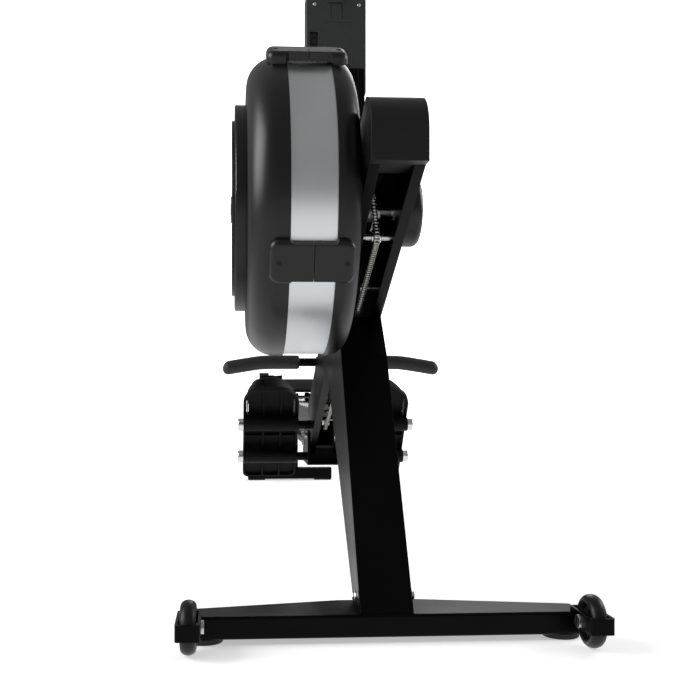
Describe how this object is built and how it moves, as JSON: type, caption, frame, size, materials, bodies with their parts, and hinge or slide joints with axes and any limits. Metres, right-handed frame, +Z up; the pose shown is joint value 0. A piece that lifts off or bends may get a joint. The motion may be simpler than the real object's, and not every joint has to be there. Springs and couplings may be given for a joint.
{
  "type": "rowing machine",
  "caption": "Air-resistance rowing machine: fan drum on a leaning box frame, chain-driven handle, sliding seat on a long rail, footrests, tilting monitor and transport wheels.",
  "frame": {"origin": "bottom centre of the machine's box, on the floor", "axes": "+X to the bearing cap's side, +Y from the fan drum towards the rail's free end, +Z up"},
  "size_m": [0.578, 2.36, 1.166],
  "materials": {
    "frame_paint": "gloss powder-coated steel",
    "black_plastic": "satin moulded plastic",
    "rubber": "matte",
    "tyre": "satin",
    "band_metal": "satin",
    "steel": "satin",
    "chrome": "bright",
    "cast_iron": "rough",
    "foam": "matte foam",
    "seat_cover": "satin",
    "webbing": "woven",
    "cord": "braided",
    "screen": "gloss"
  },
  "bodies": {
    "frame": {"front_foot": "frame_paint", "floor_pads": "rubber", "main_leg": "frame_paint", "frame_bolts": "steel", "main_beam": "frame_paint", "nose_cover": "black_plastic", "chain_guard": "black_plastic", "wheel_forks": "frame_paint", "wheel_axles": "steel", "rim_band": "band_metal", "fan_shell_left": "black_plastic", "fan_shell_right": "black_plastic", "intake_cover": "black_plastic", "axle_bearings": "steel", "bearing_cap": "black_plastic", "chain_lead": "steel", "chain_loop": "steel", "return_cord": "cord", "drive_pins": "steel", "handle_cradle": "frame_paint", "rail_beam": "frame_paint", "rail_track": "steel", "rail_end_cap": "black_plastic", "rail_stops": "rubber", "rail_bracket": "frame_paint", "rear_leg": "frame_paint", "footplates": "black_plastic", "foot_rods": "frame_paint", "rod_caps": "chrome", "foot_straps": "webbing", "strap_buckles": "black_plastic", "arm_bracket": "frame_paint"},
    "right_wheel": {"transport_wheel_right": "tyre"},
    "left_wheel": {"transport_wheel_left": "tyre"},
    "flywheel": {"fan_axle": "steel", "fan_wheel": "black_plastic", "flywheel_ring": "cast_iron"},
    "damper": {"damper_dial": "black_plastic"},
    "sprocket": {"drive_sprocket": "steel"},
    "idler": {"chain_idler": "steel"},
    "rear_return_pulley": {"rear_pulley": "steel"},
    "front_return_pulley": {"front_pulley": "steel"},
    "handle": {"handle_bar": "steel", "handle_grips": "foam", "chain_yoke": "steel"},
    "right_heel_cup": {"heel_cup_right": "black_plastic"},
    "left_heel_cup": {"heel_cup_left": "black_plastic"},
    "seat": {"seat_pad": "seat_cover", "seat_carriage": "frame_paint", "guide_shoes": "black_plastic", "roller_axles": "steel"},
    "seat_front_rollers": {"front_rollers": "black_plastic"},
    "seat_rear_rollers": {"rear_rollers": "black_plastic"},
    "arm": {"monitor_arm": "frame_paint"},
    "monitor": {"monitor_back": "black_plastic", "battery_door": "black_plastic", "monitor_bezel": "black_plastic", "monitor_screen": "screen"},
    "button_1": {"monitor_button_1": "black_plastic"},
    "button_2": {"monitor_button_2": "black_plastic"}
  },
  "joints": [
    {"name": "flywheel_spin", "type": "hinge", "parent": "frame", "child": "flywheel", "pos_m": [0, -0.919, 0.626], "axis": [1, 0, 0], "continuous": true},
    {"name": "handle_pull", "type": "slide", "parent": "frame", "child": "handle", "axis": [0, 0.9903, 0.1392], "range_m": [0, 1.15], "stiffness_N_per_m": 18, "springref_m": -1.2, "deforming": ["chain_lead"]},
    {"name": "sprocket_turn", "type": "hinge", "parent": "frame", "child": "sprocket", "pos_m": [0, -0.919, 0.626], "axis": [1, 0, 0], "continuous": true},
    {"name": "idler_turn", "type": "hinge", "parent": "frame", "child": "idler", "pos_m": [0, -0.971, 0.578], "axis": [1, 0, 0], "continuous": true},
    {"name": "rear_pulley_turn", "type": "hinge", "parent": "frame", "child": "rear_return_pulley", "pos_m": [0, -0.199, 0.275], "axis": [1, 0, 0], "continuous": true},
    {"name": "front_pulley_turn", "type": "hinge", "parent": "frame", "child": "front_return_pulley", "pos_m": [0, -0.749, 0.524], "axis": [1, 0, 0], "continuous": true},
    {"name": "damper_turn", "type": "hinge", "parent": "frame", "child": "damper", "pos_m": [0, -0.919, 0.626], "axis": [1, 0, 0], "range_deg": [0, 15]},
    {"name": "right_wheel_roll", "type": "hinge", "parent": "frame", "child": "right_wheel", "pos_m": [0.2725, -1.121, 0.0375], "axis": [1, 0, 0], "continuous": true},
    {"name": "left_wheel_roll", "type": "hinge", "parent": "frame", "child": "left_wheel", "pos_m": [-0.2725, -1.121, 0.0375], "axis": [1, 0, 0], "continuous": true},
    {"name": "right_heel_slide", "type": "slide", "parent": "frame", "child": "right_heel_cup", "axis": [0, 0.6057, -0.7957], "range_m": [-0.03, 0.016]},
    {"name": "left_heel_slide", "type": "slide", "parent": "frame", "child": "left_heel_cup", "axis": [0, 0.6057, -0.7957], "range_m": [-0.03, 0.016]},
    {"name": "seat_roll", "type": "slide", "parent": "frame", "child": "seat", "axis": [0, 1, 0], "range_m": [-0.49, 0.48]},
    {"name": "front_rollers_turn", "type": "hinge", "parent": "seat", "child": "seat_front_rollers", "pos_m": [0, 0.461, 0.31455], "axis": [1, 0, 0], "continuous": true},
    {"name": "rear_rollers_turn", "type": "hinge", "parent": "seat", "child": "seat_rear_rollers", "pos_m": [0, 0.611, 0.31455], "axis": [1, 0, 0], "continuous": true},
    {"name": "arm_fold", "type": "hinge", "parent": "frame", "child": "arm", "pos_m": [0, -0.519, 0.432], "axis": [1, 0, 0], "range_deg": [-40, 5]},
    {"name": "monitor_tilt", "type": "hinge", "parent": "arm", "child": "monitor", "pos_m": [0, -0.439, 0.985], "axis": [1, 0, 0], "range_deg": [-10, 20]},
    {"name": "button_1_press", "type": "slide", "parent": "monitor", "child": "button_1", "axis": [0, -1, 0], "range_m": [0, 0.0012], "stiffness_N_per_m": 800},
    {"name": "button_2_press", "type": "slide", "parent": "monitor", "child": "button_2", "axis": [0, -1, 0], "range_m": [0, 0.0012], "stiffness_N_per_m": 800}
  ],
  "couplings": [
    {"joint": "sprocket_turn", "follows": "handle_pull", "rad_per_m": -35.264},
    {"joint": "idler_turn", "follows": "handle_pull", "rad_per_m": -89.286},
    {"joint": "rear_pulley_turn", "follows": "handle_pull", "rad_per_m": -46.083},
    {"joint": "front_pulley_turn", "follows": "handle_pull", "rad_per_m": -29.412},
    {"joint": "front_rollers_turn", "follows": "seat_roll", "rad_per_m": -76.923},
    {"joint": "rear_rollers_turn", "follows": "seat_roll", "rad_per_m": -76.923}
  ]
}
